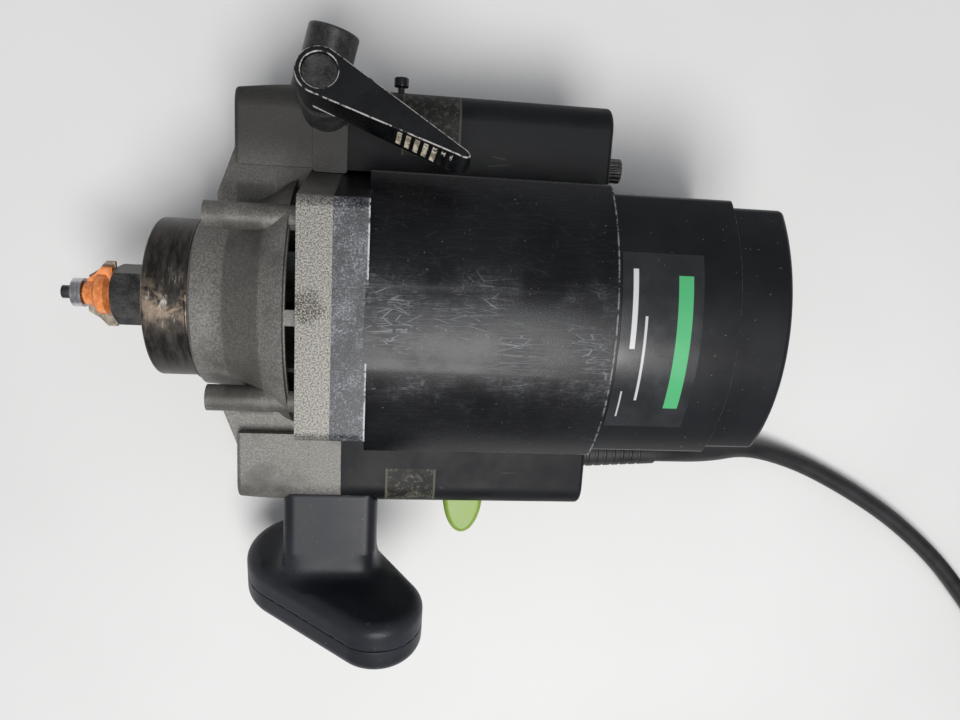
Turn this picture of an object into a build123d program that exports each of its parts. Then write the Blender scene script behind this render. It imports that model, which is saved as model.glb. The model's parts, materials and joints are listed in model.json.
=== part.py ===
from build123d import *

import math
import os

# Motor head of a plunge router, lying on its back: +X runs along the spindle axis from the
# cutter to the end cap, +Z is the machine's front, +Y the side of the clamping lever.
# Millimetres. The shapes below are drawn about the spindle axis and moved to the origin,
# at the middle of the base, when they are written.

os.makedirs("parts", exist_ok=True)

# ---- driving dimensions -------------------------------------------------------------
axis_height = 60.0  # spindle axis above the surface that the back lies on
centre_x = -20.45  # middle of the length and of the width, from the spindle axis
centre_y = -20.824

rim_x = -134.8  # open rim of the mounting collar
nose_x = -116.0  # collar against the casting
flange_x = -69.8  # front face of the square flange
joint_x = -56.2  # casting against the motor housing
barrel_x = -42.4  # where the black flange ends and the barrel begins
step_x = 56.5  # end of the barrel
upper_x = 108.3  # end of the upper housing
cap_x = 132.0  # end of the cap
back_z = -axis_height

collar_r = 35.0
flange_half = 60.0  # half width of the flange at the axis
flange_flat = 47.5  # half width of its flat front face
barrel_half = 59.5  # the barrel's flat sides
barrel_top = 61.5
upper_half = 56.0
upper_top = 60.2
cap_half = 53.0
cap_top = 59.0
arch_r = 80.0  # radius of the housing's arched front and back
wall = 3.6

column_y = 77.0  # guide column axes, either side of the spindle
column_z = -4.0
column_r = 11.0  # bore of the guide bushes
bush_r = 13.5
box_half = 17.2  # half width of the boxes that the columns slide up into
box_end_x = 61.5
ear_x = -101.7
ear_end_x = -54.5

nut_af = 24.0  # across the flats
nut_x = (-155.3, -136.0)
shank_r = 6.35
pilot_r = 6.35

lever_tilt = 15.0  # of the clamping screw, in degrees away from the front
lever_x = -63.4
lever_y = 80.4  # where its axis crosses the plane of the columns
lever_reach = 66.0
lever_swing = -28.0  # direction of the lever from +X, in degrees

post_lean = 14.0  # of the bare handle post towards the cap, in degrees
post_r = 11.3
post_seat = 12.6  # its foot, along its own axis

grip_tilt = 10.0  # the grip's front end leans outwards
grip_y = -129.4  # inner face of the grip at the axis
grip_depth = 27.0
grip_wall = 4.0
neck_x = (-81.4, -37.4)
neck_z = (-24.0, 12.0)

cord_r = 5.2
bearing_gap = 0.05  # radial running clearance


# ---- helpers ------------------------------------------------------------------------
def rod(x0, x1, radius, y=0.0, z=0.0):
    """Cylinder along X."""
    return extrude(Plane.YZ.offset(x0) * Pos(y, z) * Circle(radius), amount=x1 - x0)


def tube(x0, x1, outer, inner, y=0.0, z=0.0):
    return rod(x0, x1, outer, y, z) - rod(x0 - 1, x1 + 1, inner, y, z)


def prism(section, x0, x1):
    """Section drawn in YZ, run along X."""
    return extrude(Plane.YZ.offset(x0) * section, amount=x1 - x0)


def turned(points):
    """Solid of revolution about the spindle axis, from (x, radius) points."""
    face = Plane.XZ * make_face(Polyline(*points, close=True))
    return revolve(face, axis=Axis.X)


def block(x, y, z):
    """Box from three (low, high) pairs."""
    size = [pair[1] - pair[0] for pair in (x, y, z)]
    middle = [(pair[0] + pair[1]) / 2 for pair in (x, y, z)]
    return Pos(*middle) * Box(*size)


def arched(half, top, grow=0.0):
    """Housing section: arched front and back, flat sides, and a flat strip to lie on."""
    radius = arch_r + grow
    lift = top - arch_r
    shape = Pos(0, lift) * Circle(radius)
    shape &= Pos(0, -lift) * Circle(radius)
    low = max(back_z, -top) - grow
    high = top + grow
    shape &= Pos(0, (low + high) / 2) * Rectangle(2 * (half + grow), high - low)
    return fillet(shape.vertices(), 4.0)


def flange_section():
    """Six-sided flange: flat front and back, sides that lean out to the axis."""
    top = axis_height
    points = [
        (flange_flat, top),
        (flange_half, 4.0),
        (flange_half, -4.0),
        (flange_flat, -top),
    ]
    mirrored = [(-y, z) for y, z in reversed(points)]
    shape = make_face(Polyline(*points, *mirrored, close=True))
    return fillet(shape.vertices(), 5.0)


def box_section(grow=0.0):
    """Section of a column box: square against the barrel, rounded outside."""
    inner = barrel_half - grow
    outer = column_y + box_half + grow
    shape = Pos((inner + outer) / 2, column_z) * Rectangle(outer - inner, 2 * (box_half + grow))
    corners = shape.vertices().sort_by(Axis.X)[-2:]
    return fillet(corners, 11.0 + grow)


def upright(z0, z1, radius):
    """Cylinder along Z."""
    return Pos(0, 0, z0) * Cylinder(radius, z1 - z0, align=(Align.CENTER, Align.CENTER, Align.MIN))


def outward(x, y0, y1, radius, z=0.0):
    """Cylinder along +Y."""
    return Pos(x, 0, z) * Rot(-90, 0, 0) * upright(y0, y1, radius)


def sided(shape, side):
    """Shape drawn on the +Y side, or its mirror image for side -1."""
    return shape if side > 0 else mirror(shape, about=Plane.XZ)


parts = {}


def add(name, shape):
    parts[name] = shape


# ---- front end: casting, collar, bushes ----------------------------------------------
boss_y, boss_z = 38.0, 32.0
boss_r = 5.6
boss_x = -109.4
screw_r = 2.5
corners = [(y, z) for y in (-boss_y, boss_y) for z in (-boss_z, boss_z)]
screw_seat_x = -105.0
spigot_r = 29.0
bearing_r = 21.0
seat_x = (-108.5, -96.5)  # of the front bearing
fan_room = 49.0
groove_x = -75.6
gap_r = 57.0  # outer radius of the gap that the cooling air leaves through
bush_outer = 10.6  # of the bush that holds the clamping screw
clamp_seat = 14.0  # its foot, along the screw's axis
pad_r = 4.0
lock_x = -113.0  # spindle lock, pushed in from the lever side
lock_r = 2.6
lock_y0 = 15.5  # its tip, just clear of the spindle
lock_y1 = 40.8

clamp = Pos(lever_x, lever_y, column_z) * Rot(-lever_tilt, 0, 0)
bolt_r = 4.0
handle_hole = Pos(-59.4, 0, -6.0) * Rot(90, 0, 0)  # towards the grip
post = Pos(-70.4, 86.5, column_z) * Rot(0, 0, -post_lean) * Rot(-90, 0, 0)


def ear():
    """Ear that holds a guide bush, with the web that ties it to the nose."""
    barrel = prism(box_section(), ear_x, ear_end_x)
    taper = Polyline((ear_x - 1, 90.4), (-78, column_y + box_half), (-78, 99), (ear_x - 1, 99),
                     close=True)  # fmt: skip
    barrel -= Pos(0, 0, -40) * extrude(make_face(taper), amount=80)
    barrel = fillet(barrel.faces().sort_by(Axis.X)[0].edges(), 2.0)
    plan = [(-109.8, 20), (-109.8, 47), (ear_x - 0.5, 67), (-60, 67), (-60, 20)]
    web = Pos(0, 0, -17) * extrude(make_face(Polyline(*plan, close=True)), amount=25)
    pad = block((-69.0, ear_end_x), (58.0, 78.0), (0.0, column_z + box_half + 1.6))
    return barrel + web + fillet(pad.edges().filter_by(Axis.Z), 1.5)


def front_casting():
    nose = turned(
        [(-131.5, 0), (-131.5, spigot_r), (nose_x, spigot_r), (nose_x, 36.5), (-114.5, 38.5),
         (-102.5, 39.5), (-86.0, 48.5), (-79.0, 53.5), (groove_x, 55.0), (groove_x, 51.5),
         (joint_x, 51.5), (joint_x, 0)]
    )  # fmt: skip
    body = nose + prism(flange_section(), flange_x, joint_x)
    for side in (1, -1):
        body += sided(ear(), side)
    for y, z in corners:
        body += rod(boss_x, flange_x + 1, boss_r, y, z)
    body += post * upright(0, post_seat, post_r + 0.9)
    body -= rod(-132, seat_x[0], 15.0)
    body -= rod(seat_x[0], seat_x[1], bearing_r)
    body -= turned([(seat_x[1], 0), (seat_x[1], 32), (-88, 42), (-80, fan_room),
                    (joint_x + 1, fan_room), (joint_x + 1, 0)])  # fmt: skip
    # The gap lies behind the dome, between four webs and the screw bosses.
    gap = tube(groove_x + 0.6, flange_x - 0.4, gap_r, fan_room - 3)
    for turn, half_web in ((0, 3.2), (90, 18.5), (180, 3.2), (270, 18.5)):
        gap -= Rot(turn, 0, 0) * block((groove_x, flange_x), (-half_web, half_web), (40, 62))
    for y, z in corners:
        gap -= rod(groove_x, flange_x, boss_r + 0.3, y, z)
    for piece in gap.solids():
        body -= piece
    for side in (1, -1):
        body -= rod(ear_x - 1, ear_end_x + 1, bush_r, side * column_y, column_z)
    for y, z in corners:
        body -= rod(boss_x - 1, joint_x + 1, screw_r + 0.3, y, z)
        body -= rod(boss_x - 1, screw_seat_x, 4.2, y, z)
    body -= outward(lock_x, 0, lock_y1, lock_r + bearing_gap)
    body -= clamp * (upright(clamp_seat, 60, bush_outer) + upright(5, 15, pad_r))
    body -= prism(flange_section(), joint_x, ear_end_x + 1)
    body -= post * upright(post_seat, post_seat + 24, post_r)
    return body - handle_hole * upright(90, 96, bolt_r)


def mounting_collar():
    """Steel ring on the casting's nose, over which a base or a guide is clamped."""
    return turned([(rim_x, 21.0), (rim_x, collar_r - 0.8), (rim_x + 0.8, collar_r),
                   (nose_x - 1.2, collar_r), (nose_x - 1.2, 36.4), (nose_x, 36.4),
                   (nose_x, spigot_r), (-131.5, spigot_r), (-131.5, 21.0)])  # fmt: skip


add("front_casting", front_casting())
add("mounting_collar", mounting_collar())
# The plunger drops into one of two holes in the spindle.
add("spindle_lock_pin", outward(lock_x, lock_y0, lock_y1, lock_r))
bush_x = (ear_x + 2.8, -58.0)
for side, word in ((1, "lever_side"), (-1, "handle_side")):
    y = side * column_y
    bush = tube(bush_x[0], bush_x[1], bush_r, column_r, y, column_z)
    add(f"guide_bush_{word}", bush - clamp * upright(5, 15, pad_r))
    wiper = tube(ear_x + 0.2, bush_x[0], bush_r, column_r + 0.2, y, column_z)
    add(f"column_wiper_{word}", wiper)

# ---- spindle, collet and cutter --------------------------------------------------------
spindle = turned(
    [(-150.5, shank_r + 1.6), (-150.5, 9.3), (-135.8, 9.3), (-135.8, 12.5), (-109.2, 12.5),
     (-109.2, 10.0), (-94.0, 10.0), (-94.0, 9.0), (93.0, 9.0), (93.0, 7.5), (106.0, 7.5),
     (106.0, 0), (-112.0, 0), (-112.0, shank_r), (-128.0, shank_r)]
)  # fmt: skip
lock_hole = outward(lock_x, 9.0, 17.0, lock_r + 0.4)
add("spindle", spindle - lock_hole - sided(lock_hole, -1))

collet = turned([(-153.6, shank_r), (-153.6, 8.6), (-150.5, shank_r + 1.6), (-128.0, shank_r)])
for number in range(3):
    slit = block((-155, -132), (shank_r - 1, 10), (-0.5, 0.5))
    collet -= Rot(120 * number + 30, 0, 0) * slit
add("collet", collet)

nut_corner = nut_af / 2 / math.cos(math.pi / 6)
nut = prism(Rot(0, 0, 42) * RegularPolygon(nut_corner, 6), *nut_x)
nut &= turned([(nut_x[0], 0), (nut_x[0], 11.2), (nut_x[0] + 1.7, nut_corner),
               (nut_x[1], nut_corner), (nut_x[1], 0)])  # fmt: skip
nut -= rod(nut_x[0] - 1, -153.6, 7.6)
nut -= turned([(-153.6, 0), (-153.6, 8.6), (-150.5, 9.3), (nut_x[1] + 1, 9.3), (nut_x[1] + 1, 0)])
add("collet_nut", nut)

head_x = -168.4  # cutting end of the bit, against its pilot bearing
wing_turn = -80
cutter = turned(
    [(-115.0, 0), (-115.0, shank_r), (-157.3, shank_r), (-158.6, 9.4), (-162.2, 9.4),
     (-164.4, 6.4), (head_x, 5.2), (head_x, 3.4), (head_x - 0.5, 3.4), (head_x - 0.5, 2.38),
     (-173.5, 2.38), (-173.5, 1.3), (-166.0, 1.3), (-166.0, 0)]
)  # fmt: skip
for turn in (0, 180):
    web = make_face(Polyline((-156.0, 6), (-156.0, 12.4), (-160.6, 12.4), (-163.0, 9.6),
                             (-166.8, 7.0), (-166.8, 4), close=True))  # fmt: skip
    wing = Pos(0, 1.4, 0) * extrude(Plane.XZ * web, amount=3.4)
    cutter += Rot(turn + wing_turn, 0, 0) * wing

tips = []
for turn in (0, 180):
    outline = make_face(Polyline((-155.6, 8), (-155.6, 14.2), (-159.6, 14.2), (-162.6, 10.6),
                                 (-167.2, 7.6), (-167.2, 4.6), (-161, 6), close=True))  # fmt: skip
    tip = Pos(0, 3.2, 0) * extrude(Plane.XZ * outline, amount=1.8)
    tips.append(Rot(turn + wing_turn, 0, 0) * tip)
    cutter -= tips[-1]
add("cutter_body", cutter)
add("carbide_tips", Compound(children=tips))

add("pilot_bearing", tube(-173.4, head_x - 0.6, pilot_r, 2.38 + bearing_gap))
screw = rod(-178.4, -173.5, 2.9) - prism(RegularPolygon(1.5, 6), -178.5, -176.2)
add("pilot_screw", screw + rod(-173.5, -167.0, 1.3))
add("front_bearing_outer", tube(*seat_x, bearing_r, 16.4))
add("front_bearing_inner", tube(*seat_x, 14.2, 10.0))

# ---- motor ---------------------------------------------------------------------------
core = tube(-22, 38, 26.0, 9.0)
for number in range(12):
    core -= Rot(30 * number, 0, 0) * block((-23, 39), (-1.6, 1.6), (15.5, 27))
add("armature_core", core)
add("armature_windings", Compound(children=[tube(-33, -22, 23.5, 9.0), tube(38, 49, 23.5, 9.0)]))

commutator = tube(59, 80, 16.0, 9.0)
for number in range(24):
    commutator -= Rot(15 * number, 0, 0) * block((58, 77), (-0.3, 0.3), (15.0, 17))
add("commutator", commutator)

fan = rod(-72, -69.5, 45.0) + rod(-92, -69.5, 15.0)
for number in range(11):
    blade = block((-88, -70), (-1.1, 1.1), (13, 36)) + block((-80, -70), (-1.1, 1.1), (30, 44.5))
    fan += Rot(360 / 11 * number, 0, 0) * blade
add("cooling_fan", fan - rod(-93, -68, 9.0))

stator = tube(-22, 38, 49.0, 26.8)
for number in range(2):
    stator -= Rot(180 * number, 0, 0) * block((-23, 39), (-17, 17), (25, 38))
add("stator_core", stator)
coils = []
for turn in (0, 180):
    for x0, x1 in ((-36, -22.2), (38.2, 52)):
        arch = tube(x0, x1, 44, 30) & block((x0, x1), (-33, 33), (0, 45))
        coils.append(Rot(turn, 0, 0) * arch)
add("field_coils", Compound(children=coils))

shroud = tube(-64, -60, fan_room, 30) + tube(-60, joint_x, fan_room, 46)
for y, z in corners:
    shroud -= rod(-65, joint_x + 1, screw_r + 0.3, y, z)
add("air_shroud", shroud)

holders = []
brushes = []
springs = []
for side in (1, -1):
    holder = block((62.5, 77.5), (18.5, 46), (-8, 8)) - block((65, 75), (17, 47), (-5, 5))
    holders.append(sided(holder, side))
    brushes.append(sided(block((65, 75), (16.05, 34), (-5, 5)), side))
    springs.append(sided(outward(70, 34, 45.5, 3.6) + outward(70, 45.5, 48, 4.8), side))
add("brush_holders", Compound(children=holders))
add("carbon_brushes", Compound(children=brushes))
add("brush_springs", Compound(children=springs))

# ---- housings ------------------------------------------------------------------------
stator_r = 49.0
room_r = 55.0


def motor_housing():
    shell = prism(flange_section(), joint_x, barrel_x)
    shell += prism(arched(barrel_half, barrel_top), barrel_x - 1, step_x)
    shell -= rod(joint_x - 1, step_x + 1, room_r)
    for x0, x1 in ((joint_x, -52), (-14, -9), (26, 31)):
        ring = tube(x0, x1, room_r + 0.5, stator_r)
        for number in range(8):
            duct = block((x0 - 1, x1 + 1), (-6, 6), (stator_r + 1.2, 54))
            ring -= Rot(45 * number + 22.5, 0, 0) * duct
        shell += ring
    for y, z in corners:
        shell += rod(joint_x, -36, 6.0, y, z) - rod(joint_x - 1, -35, stator_r)
        shell -= rod(joint_x - 1, -38, screw_r, y, z)
    return shell


def upper_housing():
    """Shell over the commutator, with the web that carries the rear bearing."""
    shell = prism(arched(upper_half, upper_top), step_x, upper_x)
    shell -= rod(step_x - 1, upper_x + 1, 52.0)
    web = tube(92, 104.5, 52.5, 17.5)
    for number in range(6):
        web -= Rot(60 * number + 30, 0, 0) * block((91, 105), (-11, 11), (25, 46))
    shell += web
    for side in (1, -1):
        shelf = block((step_x + 6, 77.5), (46, 53), (-8, 8)) - block((65, 75), (45, 48.5), (-5, 5))
        shell += sided(shelf, side)
    return shell


def end_cap():
    """Cap with the air inlet louvres in its end."""
    cap = prism(arched(cap_half, cap_top), upper_x, cap_x)
    cap = fillet(cap.faces().sort_by(Axis.X)[-1].edges(), 3.0)
    cap -= rod(upper_x - 1, cap_x - wall, 48.0)
    for number in range(-5, 6):
        z = 7 * number
        # The middle three stop short of the speed dial.
        inner, end = (16, 40) if abs(number) < 2 else (-1, 32)
        slot = block((cap_x - 5, cap_x + 1), (inner, end), (z - 1.6, z + 1.6))
        cap -= slot + sided(slot, -1)
    return cap - rod(cap_x - 5, cap_x + 1, 5.0 + bearing_gap)


add("motor_housing", motor_housing())
add("upper_housing", upper_housing())
add("end_cap", end_cap())
add("rear_bearing_outer", tube(93, 104, 17.5, 14.2))
add("rear_bearing_inner", tube(93, 104, 11.8, 7.5))

band = prism(arched(upper_half, upper_top, 0.35), step_x + 1.4, 92)
band -= prism(arched(upper_half, upper_top), step_x, 93)
band &= block((step_x, 93), (-41, 33), (30, 70))
add("rating_label", band)

screws = []
for y, z in corners:
    screw_head = rod(boss_x + 0.4, screw_seat_x, 4.0, y, z)
    screws.append(screw_head + rod(screw_seat_x, -40, screw_r, y, z))
add("housing_screws", Compound(children=screws))

dial = rod(cap_x - 4, cap_x, 5.0) + rod(cap_x, cap_x + 5.5, 13.0)
add("speed_dial", dial - block((cap_x + 4.9, cap_x + 6), (-0.6, 0.6), (7, 14)))
add("speed_module", block((109.5, 121.0), (-30, 30), (-32, 32)) - rod(109, 122, 6.0))

# ---- column boxes, adjuster and stop button ---------------------------------------------
room_end_x = box_end_x - 3.0
adjuster_y = 67.5
adjuster_r = 2.0
stop_x = -32.6
stop_z = column_z + 2
inlet_y = -73.0  # where the mains cord enters
inlet_z = -14.0
inlet_r = cord_r + 1.5


def column_box():
    box = prism(box_section(), ear_end_x, box_end_x)
    box = fillet(box.faces().sort_by(Axis.X)[-1].edges(), 2.0)
    box -= prism(flange_section(), joint_x, barrel_x)
    return box - rod(ear_end_x - 1, room_end_x, 13.2, column_y, column_z)


lever_box = column_box() - clamp * upright(clamp_seat, 40, bush_outer + 0.2)
lever_box -= rod(room_end_x - 1, box_end_x + 1, adjuster_r + bearing_gap, adjuster_y, column_z)
add("column_box_lever_side", lever_box - outward(stop_x, 80, 100, 1.5 + bearing_gap, stop_z))
handle_box = sided(column_box(), -1)
handle_box -= rod(room_end_x - 2, box_end_x + 1, inlet_r, inlet_y, inlet_z)

knob = rod(box_end_x + 0.4, box_end_x + 8.6, 5.6, adjuster_y, column_z)
for number in range(16):
    turn = Pos(0, adjuster_y, column_z) * Rot(360 / 16 * number, 0, 0)
    knob -= turn * rod(box_end_x, box_end_x + 9, 0.7, 0, 5.9)
add("depth_adjuster", knob + rod(49, box_end_x + 1, adjuster_r, adjuster_y, column_z))

head = fillet(outward(stop_x, 97, 101.4, 3.2, stop_z).edges(), 0.8)
add("stop_release_button", outward(stop_x, 91.5, 98, 1.5, stop_z) + head)

# ---- switch --------------------------------------------------------------------------
switch_x = 4.4
pivot_y = -91.5
pivot_r = 1.5
pivot = Pos(switch_x, pivot_y, 0)
window = block((switch_x - 10.6, switch_x + 10.6), (-96, -88.9), (column_z - 8.5, column_z + 8.5))
window += pivot * upright(column_z - 10.2, column_z + 10.2, pivot_r + bearing_gap)
add("column_box_handle_side", handle_box - window)
paddle = block((switch_x - 9.8, switch_x + 9.8), (-111.0, -90.8), (column_z - 8, column_z + 8))
paddle = fillet(paddle.edges().filter_by(Axis.Z).sort_by(Axis.Y)[:2], 9.0)
paddle = fillet(paddle.edges().filter_by(Axis.X).sort_by(Axis.Y)[:2], 3.0)
add("switch_rocker", paddle + pivot * upright(column_z - 10, column_z + 10, pivot_r))
add("switch_module", block((81, 91), (-47, -22), (-13, 13)))

# ---- lever clamp ---------------------------------------------------------------------
boss_top = 33.0
hub_top = 52.5
hub_r = 9.4
insert_top = hub_top - 9.5
insert_r = 5.0


def lever_arm():
    """Tapered arm, hollow below, with ribs across the hollow."""
    tip_r = 4.6
    outline = make_hull(Circle(hub_r).edges() + (Pos(lever_reach - tip_r, 0) * Circle(tip_r)).edges())
    arm = Pos(0, 0, hub_top - 13) * extrude(outline, amount=13)
    under = Polyline((hub_r + 1, hub_top - 14), (lever_reach + 1, hub_top - 14),
                     (lever_reach + 1, hub_top - 9.5), close=True)  # fmt: skip
    arm -= Pos(0, 20, 0) * extrude(Plane.XZ * make_face(under), amount=40)
    pocket = Polyline((17, 4.6), (lever_reach - 7, 2.4), (lever_reach - 7, -2.4), (17, -4.6),
                      close=True)  # fmt: skip
    arm -= Pos(0, 0, hub_top - 14) * extrude(make_face(pocket), amount=11.4)
    for number in range(8):
        x = lever_reach - 9 - 3.6 * number
        arm += block((x - 0.9, x + 0.9), (-3.5, 3.5), (hub_top - 9, hub_top - 2))
    shape = arm + upright(boss_top + 0.4, hub_top, hub_r)
    shape -= upright(boss_top, hub_top, insert_r + bearing_gap)
    shape -= upright(hub_top - 8, hub_top + 1, 7.0)
    return clamp * Rot(0, 0, lever_swing) * shape


stud_r = 4.0
bush = upright(clamp_seat, boss_top, bush_outer)
add("clamp_bush", clamp * (bush - upright(13, boss_top + 1, stud_r + bearing_gap)))
add("clamp_lever", lever_arm())
# The stud carries the toothed insert that the lever drops over.
insert = upright(boss_top + 0.4, insert_top, insert_r)
add("clamp_stud", clamp * (upright(16.0, insert_top, stud_r) + insert))
washer = upright(hub_top - 3, hub_top - 1.2, 6.7)
add("lever_screw", clamp * (washer + upright(insert_top, hub_top - 3, 2.5)))
pad = clamp * upright(5, 15.9, pad_r - 0.05)
add("clamp_pad", pad - rod(-90, -30, column_r, column_y, column_z))

# ---- handles -------------------------------------------------------------------------
post_body = fillet(upright(post_seat, 33.5, post_r).edges().sort_by(Axis.Z)[-1], 1.2)
add("handle_post", post * (post_body - upright(16, 34, 3.4)))

grip = Pos(0, grip_y, 0) * Rot(90 + grip_tilt, 0, 0)
grip_ends = ((-71.8, -15.0, 30.5), (-35.6, 26.0, 21.5))  # x, height and radius of its two ends


def grip_outline(inset=0.0):
    rounds = [Pos(x, z) * Circle(radius - inset) for x, z, radius in grip_ends]
    return make_hull(rounds[0].edges() + rounds[1].edges())


def grip_inner():
    """Neck and inner half of the grip."""
    half = extrude(grip_outline(), amount=grip_depth / 2)
    half = fillet(half.faces().sort_by(Axis.Z)[0].edges(), 6.0)
    half -= Pos(0, 0, 5) * extrude(grip_outline(grip_wall), amount=20)
    neck = block(neck_x, (grip_y - 8, -86.0), neck_z)
    neck = fillet(neck.edges().filter_by(Axis.Y), 5.5)
    neck -= sided(prism(box_section(), ear_x - 1, neck_x[1] + 1), -1)
    neck -= grip * Pos(0, 0, 5) * extrude(grip_outline(grip_wall), amount=20)
    hollow = block((neck_x[0] + 5, neck_x[1] - 5), (-140, -99), (neck_z[0] + 5, neck_z[1] - 5))
    return grip * half + (neck - hollow) - handle_hole * upright(85, 130, bolt_r + 0.2)


def grip_outer():
    seam = grip_depth / 2
    half = Pos(0, 0, seam) * extrude(grip_outline(), amount=seam)
    half = fillet(half.faces().sort_by(Axis.Z)[-1].edges(), 7.0)
    half -= Pos(0, 0, seam - 1) * extrude(grip_outline(grip_wall), amount=seam - 3.5)
    return grip * half


add("handle_inner_shell", grip_inner())
add("handle_outer_shell", grip_outer())
add("handle_bolt", handle_hole * (upright(91.5, 99.0, bolt_r) + upright(99.0, 105.0, 6.5)))

# ---- mains cord ----------------------------------------------------------------------
ground = back_z + cord_r
boot_end_x = box_end_x + 44
boot = loft([Plane.YZ.offset(x) * Pos(inlet_y, inlet_z) * Circle(radius)
             for x, radius in ((box_end_x, 8.6), (boot_end_x, cord_r + 1.0))])  # fmt: skip
boot += rod(room_end_x - 1.5, box_end_x, inlet_r, inlet_y, inlet_z)
add("strain_relief", boot - rod(room_end_x - 2, boot_end_x + 1, cord_r, inlet_y, inlet_z))

coil_x, coil_y = 433, -185
coil_turn_r = 68.0  # outermost turn
coil_entry = math.radians(222)  # where the cord runs onto it
coil_inner, coil_outer, coil_height = 38.0, coil_turn_r + cord_r, 8 * cord_r
coil_top = ground + coil_height - 2 * cord_r
plug_r = 18.5
plug_z = back_z + plug_r
route = [
    (room_end_x - 1.5, inlet_y, inlet_z), (108, inlet_y, inlet_z), (142, -78, -29), (174, -80, -49),
    (210, -90, ground), (246, -107, ground), (280, -127, ground), (313, -153, ground),
    (337, -178.5, ground), (360, -205, ground),
    (coil_x + coil_turn_r * math.cos(coil_entry), coil_y + coil_turn_r * math.sin(coil_entry), ground),
]  # fmt: skip
tail = [
    (coil_x + coil_turn_r, coil_y, coil_top), (501, -155, coil_top), (499, -126, -33),
    (493, -99, -44), (485, -73, -50), (475, -48, -47), (464.5, -24, plug_z),
]  # fmt: skip


def cord_tube(points):
    """Straight runs joined by arcs as large as the runs allow."""
    places = [Vector(*point) for point in points]
    radii = []
    for before, here, after in zip(places, places[1:], places[2:]):
        turn = math.radians((here - before).get_angle(after - here))
        shorter = min((here - before).length, (after - here).length)
        radii.append(0.45 * shorter / math.tan(turn / 2))
    path = FilletPolyline(*places, radius=radii)
    solid = sweep((path ^ 0) * Circle(cord_r), path=path)
    filled = solid.volume / (math.pi * cord_r**2 * path.length)
    print("cord radii", [round(radius) for radius in radii])
    print("cord length", round(path.length), "volume against section", round(filled, 4))
    return solid


add("mains_cord", cord_tube(route))
add("mains_cord_tail", cord_tube(tail))

section = Pos((coil_inner + coil_outer) / 2, back_z + coil_height / 2) * Rectangle(
    coil_outer - coil_inner, coil_height
)
ring = revolve(Plane.XZ * fillet(section.vertices(), 4.5), axis=Axis.Z)
add("cord_coil", Pos(coil_x, coil_y, 0) * ring)

tie = block((coil_inner - 1.5, coil_outer + 1.5), (-6, 6), (back_z, back_z + coil_height + 1.5))
tie -= block((coil_inner, coil_outer), (-7, 7), (back_z + 1.5, back_z + coil_height))
add("cord_tie", Pos(coil_x, coil_y, 0) * Rot(0, 0, 55) * tie)

# ---- mains plug ----------------------------------------------------------------------
plug_heading = math.degrees(math.atan2(tail[-1][1] - tail[-2][1], tail[-1][0] - tail[-2][0]))
plug = Pos(*tail[-1]) * Rot(0, 0, plug_heading)
plug_profile = [(-30, 0), (-30, 7.0), (-8, 9.0), (0, plug_r - 2), (4, plug_r), (30, plug_r),
                (36, plug_r - 3), (36, 0)]  # fmt: skip
add("plug_body", plug * turned(plug_profile) - parts["mains_cord_tail"])
pins = Compound(children=[plug * rod(36, 55, 2.4, y, 0) for y in (-9.5, 9.5)])
add("plug_pins", pins)

for name, shape in parts.items():
    export_step(Pos(-centre_x, -centre_y, axis_height) * shape, f"parts/{name}.step")
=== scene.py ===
import json
import math

import bmesh
import bpy
from mathutils import Matrix, Vector


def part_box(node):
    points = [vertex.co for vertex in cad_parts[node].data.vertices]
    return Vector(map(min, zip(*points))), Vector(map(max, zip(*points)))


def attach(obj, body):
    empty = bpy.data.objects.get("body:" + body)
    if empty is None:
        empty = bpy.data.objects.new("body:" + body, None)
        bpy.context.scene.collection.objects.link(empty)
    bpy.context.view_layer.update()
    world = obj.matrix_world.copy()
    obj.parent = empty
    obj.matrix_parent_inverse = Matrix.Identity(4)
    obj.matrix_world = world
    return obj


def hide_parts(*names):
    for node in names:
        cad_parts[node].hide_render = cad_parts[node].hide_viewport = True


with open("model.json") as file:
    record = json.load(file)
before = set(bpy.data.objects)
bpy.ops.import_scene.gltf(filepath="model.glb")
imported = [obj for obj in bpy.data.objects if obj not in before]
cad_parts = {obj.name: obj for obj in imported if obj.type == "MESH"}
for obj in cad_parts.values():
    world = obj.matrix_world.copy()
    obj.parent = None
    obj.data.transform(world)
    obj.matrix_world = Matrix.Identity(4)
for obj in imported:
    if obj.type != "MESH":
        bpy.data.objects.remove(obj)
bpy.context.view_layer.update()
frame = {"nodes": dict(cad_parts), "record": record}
nodes = frame["nodes"]
scene = bpy.context.scene
scene.view_settings.view_transform = "Standard"
print("frame loaded:", len(nodes), "nodes")

mm = 0.001
noseToOrigin = 150.5  # from the nose of the spindle back to where all places are measured from
spindleLow, spindleHigh = (Vector(corner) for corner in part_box("spindle"))
axisSpot = Vector((spindleLow.x + noseToOrigin * mm, (spindleLow.y + spindleHigh.y) / 2,
                   (spindleLow.z + spindleHigh.z) / 2))


def fromAxis(x, y, z):
    # a place in millimetres from the origin on the spindle axis
    return axisSpot + Vector((x, y, z)) * mm


atAxis = Matrix.Translation(axisSpot) @ Matrix.Scale(mm, 4)


# camera
cameraValues = {
    "spot": (-11.46, 65.57, 403.49),
    "right": (0.9925, 0.0575, 0.1075),
    "up": (-0.035, 0.9789, -0.2012),
    "lens": 27.56,
}


def makeCamera(values):
    data = bpy.data.cameras.new("camera")
    data.lens = values["lens"]
    data.clip_start = 0.01
    camera = bpy.data.objects.new("camera", data)
    scene.collection.objects.link(camera)
    right = Vector(values["right"]).normalized()
    up = Vector(values["up"])
    up = (up - right * up.dot(right)).normalized()
    camera.matrix_world = Matrix((right, up, right.cross(up))).transposed().to_4x4()
    camera.location = Vector(values["spot"]) * mm
    scene.camera = camera


makeCamera(cameraValues)


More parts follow.
